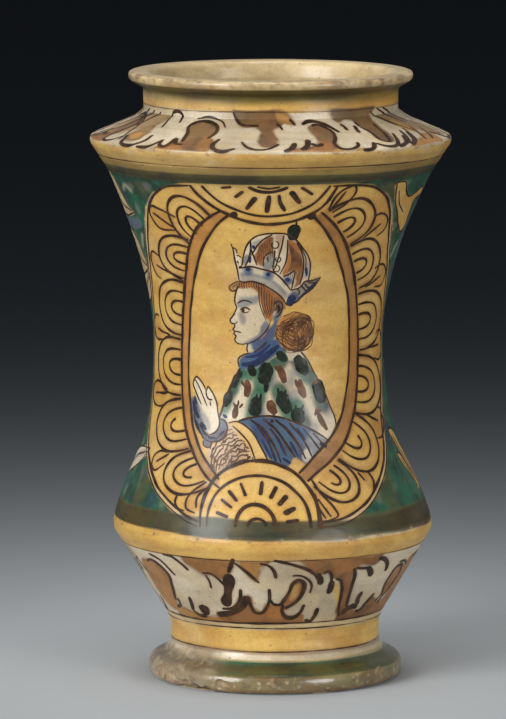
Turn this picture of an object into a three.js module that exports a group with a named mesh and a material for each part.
// An albarello, the waisted drug jar of Italian tin-glazed pottery.
//
// The jar is built as a potter builds it: five thrown sections, which are the
// foot, the lower section, the waisted body, the shoulder and the neck with its
// lip, luted together on flat seams. Each section is a solid of revolution.
// Lengths are millimetres, +Z is up and the origin is the middle of the surface
// that the jar stands on.
import * as THREE from "three";

// Foot: a spreading disc with a turned recess under it.
const footHeight = 18;
const footSpread = 11;
const footEdgeHeight = 9.5;
const footEdgeRounding = 4.5;
const footHollowRise = 3;
const footHollowSpread = 2.5;
const standWidth = 17;
const recessDepth = 3.5;
const recessSlope = 2;

// Lower section: a short stem, then a cone up to the edge under the body.
const stemRadius = 50;
const stemHeight = 10;
const stemRounding = 8;
const coneHeight = 43.5;
const baseEdgeHeight = 3.5;
const baseEdgeRadius = 76.2;
const baseEdgeRounding = 7;
const floorThickness = 8;
const floorCornerRise = 8;
const floorCornerSpread = 4;
const floorCornerRounding = 9;
const coneWall = 6.5;

// Body: two pulled curves that meet at the waist. Each pull is how far a curve
// keeps its direction at that end, and each lean how far it draws in by then.
const waistRadius = 55;
const waistRise = 87;
const upperRise = 81;
const basePull = 26;
const baseLean = 5.2;
const waistPullDown = 54;
const waistPullUp = 18;
const bodyTopRadius = 77.3;
const bodyTopPull = 36;
const bodyTopLean = 17;
const bodyWall = 6;

// Shoulder: an underside, a rounded edge and a hollow slope up to the neck.
const undersideHeight = 13.5;
const slopeHeight = 15.5;
const shoulderOverhang = 8.7;
const shoulderEdgeRise = 3;
const shoulderEdgeRounding = 5;
const slopeHollowDrop = 4;
const slopeHollowSpread = 5;
const slopeHollowRounding = 6;
const shoulderWall = 6;
const chamberRounding = 9;

// Neck, and a lip that rolls out over it.
const neckRadius = 60.7;
const neckHeight = 10;
const neckWall = 5;
const neckRounding = 1.5;
const lipOverhang = 7;
const lipRise = 4;
const lipThickness = 4;
const lipRounding = 3;
const mouthSpread = 1.5;

// Fineness of the turned shapes.
const turnSteps = 56;
const roundingSteps = 3;
const pullSteps = 7;

// Radii and heights that follow from the sizes above.
const footRadius = stemRadius + footSpread;
const shoulderRadius = bodyTopRadius + shoulderOverhang;
const lipRadius = neckRadius + lipOverhang;
const mouthRadius = neckRadius - neckWall;
const footSeam = footHeight;
const lowerSeam = footSeam + stemHeight + coneHeight + baseEdgeHeight;
const waistHeight = lowerSeam + waistRise;
const bodySeam = waistHeight + upperRise;
const shoulderSeam = bodySeam + undersideHeight + slopeHeight;
const rimHeight = shoulderSeam + neckHeight + lipRise + lipThickness;

// A point of an outline, with the length that is rounded off on each side of it.
function corner(radius, height, rounding = 0) {
  return { point: new THREE.Vector2(radius, height), rounding };
}

// The closed outline through the corners, each rounded by its own length or, on
// a short side, by half of that side.
function soften(corners) {
  const outline = [];
  corners.forEach(({ point, rounding }, i) => {
    if (rounding === 0) {
      outline.push(point.clone());
      return;
    }
    const before = corners[i - 1].point;
    const after = corners[i + 1].point;
    const side = Math.min(point.distanceTo(before), point.distanceTo(after));
    const cut = Math.min(rounding, side / 2);
    const from = point.clone().lerp(before, cut / point.distanceTo(before));
    const to = point.clone().lerp(after, cut / point.distanceTo(after));
    outline.push(...new THREE.QuadraticBezierCurve(from, point, to).getPoints(roundingSteps));
  });
  outline.push(outline[0].clone());
  return outline;
}

// A section of the jar: its closed outline turned about +Z.
function turned(name, outline, color, roughness) {
  const geometry = new THREE.LatheGeometry(outline, turnSteps);
  geometry.rotateX(Math.PI / 2);
  const material = new THREE.MeshStandardMaterial({ color, roughness, metalness: 0 });
  const mesh = new THREE.Mesh(geometry, material);
  mesh.name = name;
  return mesh;
}

function foot() {
  const standRadius = footRadius - standWidth;
  const outline = soften([
    corner(0, recessDepth),
    corner(standRadius - recessSlope, recessDepth),
    corner(standRadius, 0),
    corner(footRadius, 0, footEdgeRounding),
    corner(footRadius, footEdgeHeight, footEdgeRounding),
    corner(stemRadius + footHollowSpread, footEdgeHeight + footHollowRise, footHollowRise),
    corner(stemRadius, footSeam),
    corner(0, footSeam),
  ]);
  return turned("foot", outline, "#7d7a55", 0.35);
}

function lowerSection() {
  const stemTop = footSeam + stemHeight;
  const coneTop = stemTop + coneHeight;
  const floor = footSeam + floorThickness;
  const innerStem = stemRadius - coneWall;
  const outline = soften([
    corner(0, footSeam),
    corner(stemRadius, footSeam),
    corner(stemRadius, stemTop, stemRounding),
    corner(baseEdgeRadius, coneTop, baseEdgeRounding),
    corner(baseEdgeRadius, lowerSeam),
    corner(baseEdgeRadius - bodyWall, lowerSeam),
    corner(baseEdgeRadius - coneWall, coneTop - coneWall),
    corner(innerStem + floorCornerSpread, floor + floorCornerRise),
    corner(innerStem, floor, floorCornerRounding),
    corner(0, floor),
  ]);
  return turned("lower_section", outline, "#b7a27c", 0.25);
}

function waistedBody() {
  const base = new THREE.Vector2(baseEdgeRadius, lowerSeam);
  const waist = new THREE.Vector2(waistRadius, waistHeight);
  const top = new THREE.Vector2(bodyTopRadius, bodySeam);
  const below = new THREE.CubicBezierCurve(
    base,
    new THREE.Vector2(baseEdgeRadius - baseLean, lowerSeam + basePull),
    new THREE.Vector2(waistRadius, waistHeight - waistPullDown),
    waist,
  );
  const above = new THREE.CubicBezierCurve(
    waist,
    new THREE.Vector2(waistRadius, waistHeight + waistPullUp),
    new THREE.Vector2(bodyTopRadius - bodyTopLean, bodySeam - bodyTopPull),
    top,
  );
  const outside = [...below.getPoints(pullSteps), ...above.getPoints(pullSteps).slice(1)];
  const inside = outside.map((p) => new THREE.Vector2(p.x - bodyWall, p.y)).reverse();
  return turned("waisted_body", [...outside, ...inside, outside[0].clone()], "#cda453", 0.2);
}

function shoulder() {
  const edge = bodySeam + undersideHeight;
  const hollow = shoulderSeam - slopeHollowDrop;
  const outline = soften([
    corner(bodyTopRadius, bodySeam),
    corner(shoulderRadius, edge, shoulderEdgeRise),
    corner(shoulderRadius, edge + shoulderEdgeRise, shoulderEdgeRounding),
    corner(neckRadius + slopeHollowSpread, hollow, slopeHollowRounding),
    corner(neckRadius, shoulderSeam),
    corner(mouthRadius, shoulderSeam),
    corner(mouthRadius, hollow - shoulderWall, chamberRounding),
    corner(shoulderRadius - shoulderWall, edge, chamberRounding),
    corner(bodyTopRadius - bodyWall, bodySeam),
  ]);
  return turned("shoulder", outline, "#bdab87", 0.22);
}

function neckAndLip() {
  const lipFoot = shoulderSeam + neckHeight;
  const lipEdge = lipFoot + lipRise;
  const outline = soften([
    corner(neckRadius, shoulderSeam),
    corner(neckRadius, lipFoot, neckRounding),
    corner(lipRadius, lipEdge, lipRounding),
    corner(lipRadius, rimHeight, lipRounding),
    corner(mouthRadius + mouthSpread, rimHeight, lipRounding),
    corner(mouthRadius, lipFoot),
    corner(mouthRadius, shoulderSeam),
  ]);
  return turned("neck_and_lip", outline, "#b59f74", 0.25);
}

const albarello = new THREE.Group();
albarello.add(foot(), lowerSection(), waistedBody(), shoulder(), neckAndLip());

export default albarello;
